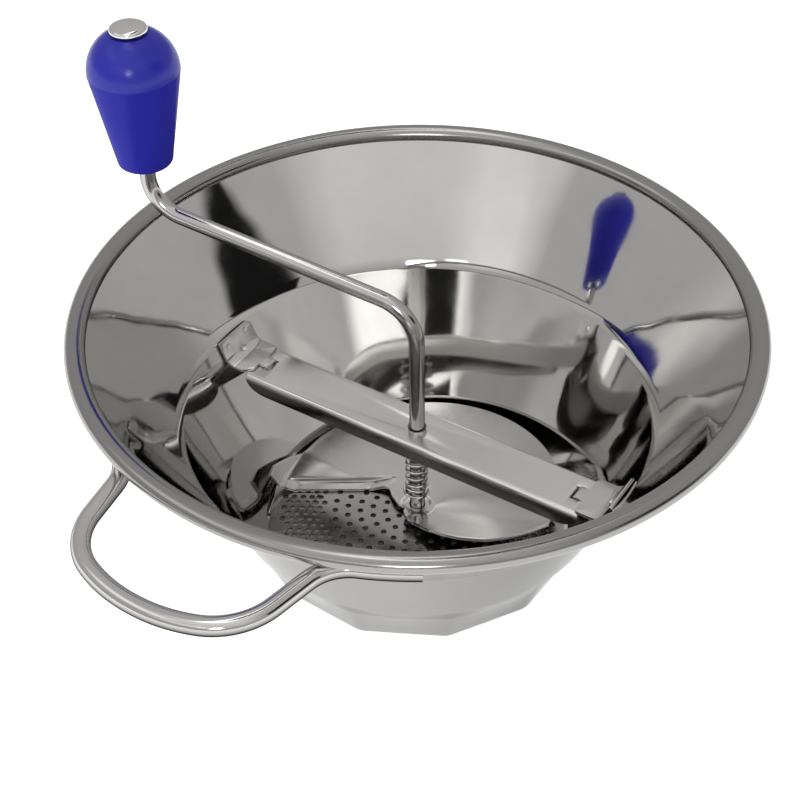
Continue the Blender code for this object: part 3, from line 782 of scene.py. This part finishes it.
class FOODMILL_OT_blade(bpy.types.Operator):
    """Warps a grid into the rising blade with its pressing foot, boss and turned-up scraper"""

    bl_idname = "foodmill.blade"
    bl_label = "Blade"

    radius = 69.0 * MM
    sheet = 1.4 * MM
    level = 8.7 * MM
    lift = 19.0 * MM
    step = 2.0 * MM
    foot = 5.5 * MM
    ramp = 1.1 * MM
    trail_offset = 13.7 * MM
    boss = 6.6 * MM
    hub = 3.95 * MM
    lead_angle = math.radians(-28.0)
    level_angle = math.radians(146.0)
    scraper_angle = math.radians(17.0)
    scraper_out = 5.0 * MM
    scraper_up = 8.0 * MM
    boss_rise = 1.2 * MM
    boss_seam = math.radians(-163.0)
    # shares of the radius: where the foot's step deepens, ends short of the tip, and the edge runs straight
    step_root = (0.30, 0.40)
    step_tip = (0.03, 0.09)
    straight_from = 0.34
    # shares of the grid: the boss's and the scraper's rows, the plate's and the foot's columns
    boss_share = 0.06
    scraper_share = 0.88
    plate_share = 0.86
    foot_share = 0.92

    def execute(self, context):
        start_clean()
        bpy.ops.mesh.primitive_grid_add(x_subdivisions=150, y_subdivisions=62, size=2.0)
        piece = bpy.context.object
        for vertex in piece.data.vertices:
            vertex.co = self.warp((vertex.co.x + 1) / 2, (vertex.co.y + 1) / 2)
        piece.data.transform(Matrix.Rotation(BLADE_TURN, 4, "Z"))
        piece.data.transform(Matrix.Translation(BASE))
        merge_and_turn_out(piece)
        faces = piece.data.polygons
        thicken_below(piece, self.sheet, faces[len(faces) // 2])
        soften(piece, 0.25 * MM, 60.0)
        steel = steel_finish("blade steel", 0.97, 0.17, 0.10, wave=0.06 * MM, lines=0.0008 * MM)
        finish_piece(piece, "pressing_blade", "crank", "blade", steel, 35.0)
        return {"FINISHED"}

    def warp(self, along, outward):
        """A point of the blade: along from leading to trailing edge, outward from hub to scraper."""
        if outward < self.boss_share:
            share = outward / self.boss_share
            radius = self.hub + (self.boss - self.hub) * share
            angle = self.boss_seam + 2 * math.pi * along
            return polar(radius, angle, self.level + self.boss_rise * (1 - 0.2 * share))
        grown = min(1.0, (outward - self.boss_share) / (self.scraper_share - self.boss_share))
        root = BLADE_LEAD_SHARES[0]
        share = root + (1 - root) * grown
        radius = self.radius * share
        lead = math.radians(along_table(share, BLADE_LEAD_SHARES, BLADE_LEAD_DEGREES))
        trail = self.trail(radius, share, 0.0)
        foot = self.trail(radius, share, self.foot)
        ramp = self.trail(radius, share, self.foot + self.ramp)
        columns = (0.0, self.plate_share, self.foot_share, 1.0)
        angle = along_table(along, columns, (lead, ramp, foot, trail))
        drop = 0.5 - 0.5 * math.cos(math.pi * limited(along, self.plate_share, self.foot_share))
        depth = self.step * limited(share, *self.step_root) * limited(1.0 - share, *self.step_tip)
        point = polar(radius, angle, self.height(radius, angle) - depth * drop)
        turned_up = max(0.0, (outward - self.scraper_share) / (1 - self.scraper_share))
        if turned_up > 0 and angle > 0:
            grown = limited(angle, self.level_angle, self.level_angle + self.scraper_angle)
            away = Vector((point.x, point.y, 0.0)).normalized()
            point += (away * self.scraper_out + UP * self.scraper_up) * grown * turned_up
        return point

    def trail(self, radius, share, inset):
        """Angle of the trailing edge, or of a line inset from it; straight beyond the boss."""
        degrees = along_table(share, BLADE_TRAIL_SHARES, BLADE_TRAIL_DEGREES)
        inner = math.radians(degrees) - inset / self.radius * 2
        outer = math.pi - math.asin(min(1.0, (self.trail_offset + inset) / radius))
        return inner + (outer - inner) * limited(share, BLADE_TRAIL_SHARES[-1], self.straight_from)

    def height(self, radius, angle):
        rise = limited(self.level_angle - angle, 0.0, self.level_angle - self.lead_angle)
        outward = limited(radius, self.boss, self.radius)
        return self.level + self.lift * rise * outward


# Crossbar and brackets
class FOODMILL_OT_crossbar(bpy.types.Operator):
    """Folds the crossbar from a strip, rounds its ends and cuts the rod hole and slots"""

    bl_idname = "foodmill.crossbar"
    bl_label = "Crossbar"

    sheet = 1.5 * MM
    end_round = 11.0 * MM
    end_depth = 2.6 * MM
    end_steps = 10
    outer_bend = 2.4 * MM
    inner_bend = 0.9 * MM
    rod_hole = 4.4 * MM
    slot_place = 85.1 * MM
    slot_half = Vector((4.3, 2.3, 6.0)) * MM

    def execute(self, context):
        low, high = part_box("crossbar")
        beyond = 5.0 * MM
        piece = self.folded(low, high, self.outer_bend, 8)
        inner_low = Vector((low.x + self.sheet, low.y - beyond, low.z - beyond))
        inner_high = Vector((high.x - self.sheet, high.y + beyond, high.z - self.sheet))
        cut_away(piece, self.folded(inner_low, inner_high, self.inner_bend, 6))
        self.round_ends(piece, low, high)
        self.cut_holes(piece, high)
        soften(piece, 0.25 * MM, 50.0)
        # painted shade: the bar's sides darker below its top
        painted_shade_below = (high.z - 4.0 * MM, high.z - 1.5 * MM, 0.20)
        steel = steel_finish("bar steel", 1.12, 0.20, 0.08, painted_shade_below=painted_shade_below)
        finish_piece(piece, "crossbar_channel", "frame", "crossbar", steel, 32.0)
        # the far side gets the same steel without the painted shade
        unshaded_far_steel = steel_finish("bar far steel", 1.12, 0.20, 0.08)
        dress_faces(piece, unshaded_far_steel, lambda face: face.normal.x > 0.3)
        return {"FINISHED"}

    @staticmethod
    def folded(low, high, bend, steps):
        """A long block with its two upper long edges rounded like a fold."""
        piece = block(low, high)

        def upper_long_edge(a, b):
            return near(a.z, high.z) and near(b.z, high.z) and near(a.x, b.x)

        bevel(piece, "EDGE", upper_long_edge, bend, steps)
        return piece

    def round_ends(self, piece, low, high):
        """Cuts the walls across near each end, then lifts their lower edge in a quarter round."""
        for turn in spread(0.0, math.pi / 2, self.end_steps)[1:]:
            inset = self.end_round * (1 - math.cos(turn))
            for place in (low.y + inset, high.y - inset):
                edit(piece)
                bpy.ops.mesh.bisect(plane_co=(0.0, place, 0.0), plane_no=(0.0, 1.0, 0.0))
                leave()
        for vertex in piece.data.vertices:
            inset = max(0.0, min(vertex.co.y - low.y, high.y - vertex.co.y))
            if near(vertex.co.z, low.z) and inset < self.end_round:
                turn = math.acos(1 - inset / self.end_round)
                depth = self.end_depth + (high.z - low.z - self.end_depth) * math.sin(turn)
                vertex.co.z = high.z - depth

    def cut_holes(self, piece, high):
        """The rod's hole and the slot for each bracket's tongue."""
        start_clean()
        place = Vector((AXIS.x, AXIS.y, high.z))
        depth = 2 * self.slot_half.z
        bpy.ops.mesh.primitive_cylinder_add(vertices=64, radius=self.rod_hole, depth=depth, location=place)
        cut_away(piece, bpy.context.object)
        for side in (1, -1):
            centre = place + Vector((0.0, side * self.slot_place, 0.0))
            cut_away(piece, block(centre - self.slot_half, centre + self.slot_half))


class FOODMILL_OT_brackets(bpy.types.Operator):
    """Folds the two brackets, with their tongues in the bar's slots and weld marks on their legs"""

    bl_idname = "foodmill.brackets"
    bl_label = "Brackets"

    half_width = 12.0 * MM
    half_tongue = 3.6 * MM
    sheet = 1.4 * MM
    plate = 62.7 * MM
    fold_bend = 5.0 * MM
    tongue_bend = 1.6 * MM
    lap = 89.4 * MM
    fold = 101.2 * MM
    leg_top = 106.0 * MM
    tongue_tip = 84.4 * MM
    # for each side of the bracket, the size and steps of its plate's corner and of its leg's corner
    left_corners = {-1: (4.0 * MM, 1), 1: (0.8 * MM, 5)}
    right_corners = {-1: (1.0 * MM, 5), 1: (3.0 * MM, 5)}
    leg_corners = {1: (3.2 * MM, 6), -1: (0.7 * MM, 6)}
    # across and height in mm
    welds = ((6.3, 71.0), (-7.9, 70.0), (0.2, 64.6))
    weld_radius = 1.7 * MM
    weld_depth = 0.55 * MM

    def execute(self, context):
        steel = steel_finish("bracket steel", 1.0, 0.16, 0.10, wave=0.05 * MM)
        self.make("bracket_left", 1, self.left_corners, steel)
        self.make("bracket_right", -1, self.right_corners, steel)
        return {"FINISHED"}

    def make(self, node, side, plate_corners, steel):
        low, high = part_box(node)
        top = high.z
        plate = self.plate
        start_clean()
        middle = (AXIS.x, side * (self.lap + self.fold) / 2, plate)
        bpy.ops.mesh.primitive_plane_add(size=1.0, location=middle)
        piece = bpy.context.object
        piece.scale = (2 * self.half_width, self.fold - self.lap, 1.0)
        bpy.ops.object.transform_apply()

        def at_fold(*ends):
            return all(near(side * end.y, self.fold) for end in ends)

        choose(piece, "EDGE", at_fold)
        rise = (0.0, side * (self.leg_top - self.fold), top - plate)
        bpy.ops.mesh.extrude_edges_move(TRANSFORM_OT_translate={"value": rise})
        leave()
        for across in (-self.half_tongue, self.half_tongue):
            edit(piece)
            bpy.ops.mesh.bisect(plane_co=(AXIS.x + across, 0.0, 0.0), plane_no=(1.0, 0.0, 0.0))
            leave()

        def tongue_root(*ends):
            inside = all(abs(end.x - AXIS.x) < self.half_tongue + 0.01 * MM for end in ends)
            return inside and all(near(side * end.y, self.lap) for end in ends)

        choose(piece, "EDGE", tongue_root)
        reach = (0.0, side * (self.tongue_tip - self.lap), 0.0)
        bpy.ops.mesh.extrude_edges_move(TRANSFORM_OT_translate={"value": reach})
        bpy.ops.mesh.extrude_edges_move(TRANSFORM_OT_translate={"value": (0.0, 0.0, low.z - plate)})
        leave()

        def tongue_bend(*ends):
            return all(near(end.z, plate) and near(side * end.y, self.tongue_tip) for end in ends)

        bevel(piece, "EDGE", tongue_bend, self.tongue_bend, 4)
        turn = math.atan2(top - plate, self.leg_top - self.fold)
        bevel(piece, "EDGE", at_fold, self.fold_bend * math.tan(turn / 2), 8)
        self.round_corners(piece, plate_corners, lambda place: near(side * place.y, self.lap))
        self.round_corners(piece, self.leg_corners, lambda place: near(place.z, top))
        merge_and_turn_out(piece)
        thicken_below(piece, self.sheet, next(f for f in piece.data.polygons if near(f.center.z, plate)))
        self.add_weld_marks(piece, side, plate, top)
        soften(piece, 0.2 * MM, 50.0)
        finish_piece(piece, node + "_folded", "frame", node, steel, 32.0)

    def round_corners(self, piece, corners, at_end):
        """Rounds the corner on each side of a sheet's end, by its own size and steps."""
        for hand, (size, steps) in corners.items():

            def at_corner(place):
                return at_end(place) and near(place.x, AXIS.x + hand * self.half_width)

            bevel(piece, "VERT", at_corner, size, steps)

    def add_weld_marks(self, piece, side, plate, top):
        """Small round dents where the leg is spot welded to the bowl."""
        run = self.leg_top - self.fold
        rise = top - plate
        length = math.hypot(run, rise)
        inward = Vector((0.0, -side * rise / length, run / length))
        for across, height in self.welds:
            share = (height * MM - plate) / rise
            place = Vector((AXIS.x + across * MM, side * (self.fold + run * share), height * MM))
            centre = place + inward * (self.weld_radius - self.weld_depth)
            start_clean()
            bpy.ops.mesh.primitive_uv_sphere_add(
                segments=24, ring_count=12, radius=self.weld_radius, location=centre
            )
            cut_away(piece, bpy.context.object)


# Crank, spring and rings
class FOODMILL_OT_crank(bpy.types.Operator):
    """Bends the crank's rod from the disc to the knob"""

    bl_idname = "foodmill.crank"
    bl_label = "Crank rod"

    radius = 3.65 * MM
    lower_corner = 128.5 * MM
    upper_corner = 150.3 * MM
    bends = (21.0 * MM, 18.0 * MM)

    def execute(self, context):
        low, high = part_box("crank_rod")
        elbow = Vector((KNOB_AXIS.x, KNOB_AXIS.y, self.upper_corner))
        top = Vector((elbow.x, elbow.y, high.z))
        route = rounded([BASE + UP * low.z, BASE + UP * self.lower_corner, elbow, top], self.bends, 18)
        piece = rod(route, self.radius, 36)
        steel = steel_finish("crank steel", 0.82, 0.15, 0.08, edge=0.3)
        finish_piece(piece, "crank_wire", "crank", "crank_rod", steel, 50.0)
        return {"FINISHED"}


class FOODMILL_OT_spring(bpy.types.Operator):
    """Winds the spring and turns the washers and rings on the shaft"""

    bl_idname = "foodmill.spring"
    bl_label = "Spring and washers"

    wire = 0.8 * MM
    coil = 5.2 * MM
    curls = 7
    curl_points = 40
    travel = 8.0 * MM
    rod_hole = 3.95 * MM
    washer_hole = 4.15 * MM
    ring_edge = 0.25 * MM
    rings = (
        ("bar_washer", "frame", washer_hole),
        ("spring_washer", "spring_seat", washer_hole),
        ("retaining_ring", "crank", rod_hole),
        ("knob_stop", "crank", rod_hole),
    )

    def execute(self, context):
        low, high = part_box("spring")
        piece = rod(self.winding(low.z + self.wire, high.z - self.wire), self.wire, 12)
        steel = steel_finish("spring steel", 1.12, 0.10, 0.08)
        finish_piece(piece, "spring_coil", "frame", "spring", steel, 60.0)
        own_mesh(piece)
        for node, body, hole in self.rings:
            self.turn_ring(node, body, hole, steel)
        return {"FINISHED"}

    def winding(self, bottom, top):
        """The wire's route, with one close turn at each end."""
        close = 2 * self.wire * 1.02
        places = (0, 1, self.curls + 1, self.curls + 2)
        heights = (bottom, bottom + close, top - close, top)
        route = []
        for turn in spread(0, self.curls + 2, (self.curls + 2) * self.curl_points):
            height = along_table(turn, places, heights)
            route.append(BASE + polar(self.coil, 2 * math.pi * turn, height))
        return route

    def turn_ring(self, node, body, hole, steel):
        low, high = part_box(node)
        outer = (high.x - low.x) / 2
        edge = self.ring_edge
        lower = [(hole, low.z), (outer - edge, low.z), (outer, low.z + edge)]
        upper = [(outer, high.z - edge), (outer - edge, high.z), (hole, high.z)]
        ring = turned(lower + upper + lower[:1], 64, (low + high) / 2)
        merge_and_turn_out(ring)
        finish_piece(ring, node + "_turned", body, node, steel, 30.0)


# Knob
class FOODMILL_OT_knob(bpy.types.Operator):
    """Turns the knob and its domed cap"""

    bl_idname = "foodmill.knob"
    bl_label = "Knob and cap"

    bore = 4.15 * MM
    room = 6.7 * MM
    room_depth = 2.1 * MM
    room_edge = 0.3 * MM
    foot = 12.6 * MM
    foot_round = 1.6 * MM
    widest = 20.38 * MM
    crease_share = 0.70
    dome = 20.0 * MM
    crown_drop = 1.6 * MM
    recess = 8.6 * MM
    recess_depth = 0.3 * MM
    cap_bore = 3.95 * MM
    cap_radius = 8.3 * MM
    cap_edge = 0.9 * MM
    cap_round = 0.3 * MM

    def execute(self, context):
        sizes = context.scene.mill_knob
        low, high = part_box("knob")
        centre = (low + high) / 2
        crease = low.z + self.crease_share * (high.z - low.z)
        grip = turned(self.grip_profile(low.z, high.z, crease), sizes.steps, centre)
        merge_and_turn_out(grip)
        plastic = plastic_finish("knob plastic", sizes.plastic, KNOB_AXIS, crease)
        finish_piece(grip, "knob_grip", "knob", "knob", plastic, 7.5)
        low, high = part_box("knob_cap")
        cap = turned(self.cap_profile(low.z, high.z), 72, centre)

        def at_bore(place):
            return near(math.hypot(place.x, place.y), self.cap_bore) and near(place.z, 0.0)

        choose(cap, "VERT", at_bore)
        bpy.ops.mesh.edge_face_add()
        leave()
        merge_and_turn_out(cap)
        steel = steel_finish("cap steel", 1.1, 0.09, 0.06, centre=KNOB_AXIS)
        finish_piece(cap, "knob_cap_dome", "crank", "knob_cap", steel, 40.0)
        return {"FINISHED"}

    def grip_profile(self, bottom, top, crease):
        """From the bore down round the room for the stop, up the cone, over the dome and back."""
        floor = bottom + self.room_depth
        profile = [(self.bore, floor), (self.room, floor), (self.room, bottom + self.room_edge)]
        profile.append((self.room + self.room_edge, bottom))
        for turn in spread(-math.pi / 2, 0.0, 8):
            radius = self.foot - self.foot_round * (1 - math.cos(turn))
            profile.append((radius, bottom + self.foot_round * (1 + math.sin(turn))))
        cone_foot = bottom + self.foot_round
        for share in spread(0.0, 1.0, 12)[1:]:
            radius = self.foot + (self.widest - self.foot) * share
            profile.append((radius, cone_foot + (crease - cone_foot) * share))
        crown = top - self.crown_drop
        top_turn = math.asin((crown - crease) / self.dome)
        for turn in spread(0.0, top_turn, 16)[1:]:
            profile.append((self.widest * math.cos(turn), crease + self.dome * math.sin(turn)))
        seat = crown - self.recess_depth
        return profile + [(self.recess, crown), (self.recess, seat), (self.bore, seat), profile[0]]

    def cap_profile(self, bottom, top):
        """From the bore's top down, out to the edge and over the dome to the middle."""
        edge = bottom + self.cap_edge
        rim = self.cap_radius
        profile = [(self.cap_bore, edge), (self.cap_bore, bottom), (rim - self.cap_round, bottom)]
        profile.append((rim, bottom + self.cap_round))
        for turn in spread(0.0, math.pi / 2, 12):
            profile.append((max(rim * math.cos(turn), 0.0), edge + (top - edge) * math.sin(turn)))
        return profile


# Stage
def aimed(azimuth, elevation):
    """Unit direction: azimuth from the front, positive to the right, elevation above the floor."""
    turn, rise = math.radians(azimuth), math.radians(elevation)
    return Vector((math.sin(turn) * math.cos(rise), -math.cos(turn) * math.cos(rise), math.sin(rise)))


class FOODMILL_OT_stage(bpy.types.Operator):
    """Sets the pale floor, the studio's soft boxes and dark flags, and the camera"""

    bl_idname = "foodmill.stage"
    bl_label = "Stage"

    eye = Vector((-448.8, -296.0, 565.1)) * MM
    target = Vector((17.3, 6.6, 77.6)) * MM
    roll = math.radians(-0.77)

    # azimuth, elevation, half width, half height, turn, soft edge, tone; later ones stand in front
    panels = (
        (-55.0, 42.0, 0.85, 0.45, 0.0, 0.40, 0.84),
        (-95.0, 31.0, 0.35, 0.22, 0.0, 0.25, 1.20),
        (178.0, 4.0, 0.25, 0.15, 0.0, 0.15, 0.70),
        (-67.0, 73.6, 0.60, 0.50, 0.0, 0.28, 0.97),
        (-138.0, 48.0, 0.50, 0.25, 0.0, 0.20, 1.30),
        (107.6, 79.5, 0.225, 0.37, -17.6, 0.08, 2.7),
        (94.7, 74.0, 0.1175, 0.250, 0.0, 0.012, 0.02),
        (-60.0, 23.0, 0.12, 0.12, 0.0, 0.11, 26.0),
        (-77.0, 30.0, 0.09, 0.055, 0.0, 0.03, 2.2),
        (8.0, 20.0, 0.16, 0.175, 0.0, 0.02, 0.01),
        (22.4, 18.5, 0.21, 0.14, -35.5, 0.02, 0.01),
    )

    def execute(self, context):
        settings = context.scene.mill_stage
        context.scene.view_settings.view_transform = "Standard"
        self.add_floor(settings)
        self.add_studio(settings)
        self.add_camera(settings)
        return {"FINISHED"}

    @staticmethod
    def add_floor(settings):
        """A pale paper that gives light by itself, but not under the open disc."""
        start_clean()
        bpy.ops.mesh.primitive_circle_add(vertices=96, radius=6.0, fill_type="NGON")
        floor = bpy.context.object
        floor.name = "floor"
        finish = Finish("floor paper")
        cloud = finish.noise(finish.place(), 2.0, 2.0)
        x, y, z = finish.parts(finish.place(AXIS))
        outside = (x * x + y * y).power(0.5).between(72.0 * MM, 76.0 * MM)
        finish.set(
            Base_Color=finish.mix(cloud, rgba(settings.floor, 0.99), rgba(settings.floor, 1.01)),
            Roughness=0.8,
            Emission_Color=finish.mix(outside, (0.0, 0.0, 0.0, 1.0), (1.0, 1.0, 1.0, 1.0)),
            Emission_Strength=settings.glow,
        )
        floor.data.materials.append(finish.material)

    def add_studio(self, settings):
        world = bpy.data.worlds.new("studio")
        bpy.context.scene.world = world
        world.use_nodes = True
        studio = Nodes(world.node_tree)
        back = studio.tree.nodes["Background"]
        x, y, z = studio.parts(studio.node("ShaderNodeTexCoord"))
        tone = 0.48 + 0.10 * z.between(0.0, 0.8)
        for azimuth, elevation, half_width, half_height, turn, edge, value in self.panels:
            ahead = aimed(azimuth, elevation)
            side = ahead.cross(UP).normalized()
            side.rotate(Quaternion(ahead, math.radians(turn)))
            above = side.cross(ahead)
            axes = (ahead, side, above)
            depth, across, upward = (x * axis.x + y * axis.y + z * axis.z for axis in axes)
            near = depth.maths("MAXIMUM", depth, 0.001)
            mask = ((half_width - (across / near).size()) / edge).clamped()
            mask = mask * ((half_height - (upward / near).size()) / edge).clamped()
            tone = tone + (value - tone) * mask
        back.inputs["Color"].default_value = (1.0, 0.993, 0.98, 1.0)
        put(studio.tree, back.inputs["Strength"], tone * settings.fill)

    def add_camera(self, settings):
        ahead = (self.target - self.eye).normalized()
        right = ahead.cross(UP).normalized()
        above = right.cross(ahead)
        side = right * math.cos(self.roll) + above * math.sin(self.roll)
        top = above * math.cos(self.roll) - right * math.sin(self.roll)
        bpy.ops.object.camera_add(location=self.eye)
        camera = bpy.context.object
        turn = Matrix((side, top, -ahead)).transposed()
        camera.rotation_euler = turn.to_euler()
        camera.data.lens = settings.lens
        camera.data.sensor_width = 36.0
        camera.data.clip_start = 0.01
        bpy.context.scene.camera = camera


class FOODMILL_PT_panel(bpy.types.Panel):
    """Lists the pieces of the food mill"""

    bl_idname = "FOODMILL_PT_panel"
    bl_label = "Food mill"
    bl_space_type = "VIEW_3D"
    bl_region_type = "UI"
    bl_category = "Food mill"

    def draw(self, context):
        scene = context.scene
        for label, group in (("Hopper", "mill_hopper"), ("Disc", "mill_disc"), ("Knob", "mill_knob")):
            box = self.layout.box()
            box.label(text=label)
            settings = getattr(scene, group)
            for name in settings.bl_rna.properties.keys():
                if name not in ("rna_type", "name"):
                    box.prop(settings, name)
        for operator in OPERATORS:
            self.layout.operator(operator.bl_idname)


SETTINGS = (
    ("mill_hopper", HopperSettings),
    ("mill_disc", DiscSettings),
    ("mill_knob", KnobSettings),
    ("mill_stage", StageSettings),
)
OPERATORS = (
    FOODMILL_OT_stage,
    FOODMILL_OT_hopper,
    FOODMILL_OT_handle,
    FOODMILL_OT_disc,
    FOODMILL_OT_blade,
    FOODMILL_OT_crossbar,
    FOODMILL_OT_brackets,
    FOODMILL_OT_crank,
    FOODMILL_OT_spring,
    FOODMILL_OT_knob,
)


def register():
    for name, group in SETTINGS:
        bpy.utils.register_class(group)
        setattr(bpy.types.Scene, name, PointerProperty(type=group))
    for operator in OPERATORS:
        bpy.utils.register_class(operator)
    bpy.utils.register_class(FOODMILL_PT_panel)


def unregister():
    bpy.utils.unregister_class(FOODMILL_PT_panel)
    for operator in reversed(OPERATORS):
        bpy.utils.unregister_class(operator)
    for name, group in reversed(SETTINGS):
        delattr(bpy.types.Scene, name)
        bpy.utils.unregister_class(group)


def main():
    register()
    for operator in OPERATORS:
        group, name = operator.bl_idname.split(".")
        getattr(getattr(bpy.ops, group), name)()
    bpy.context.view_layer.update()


if __name__ == "__main__":
    main()
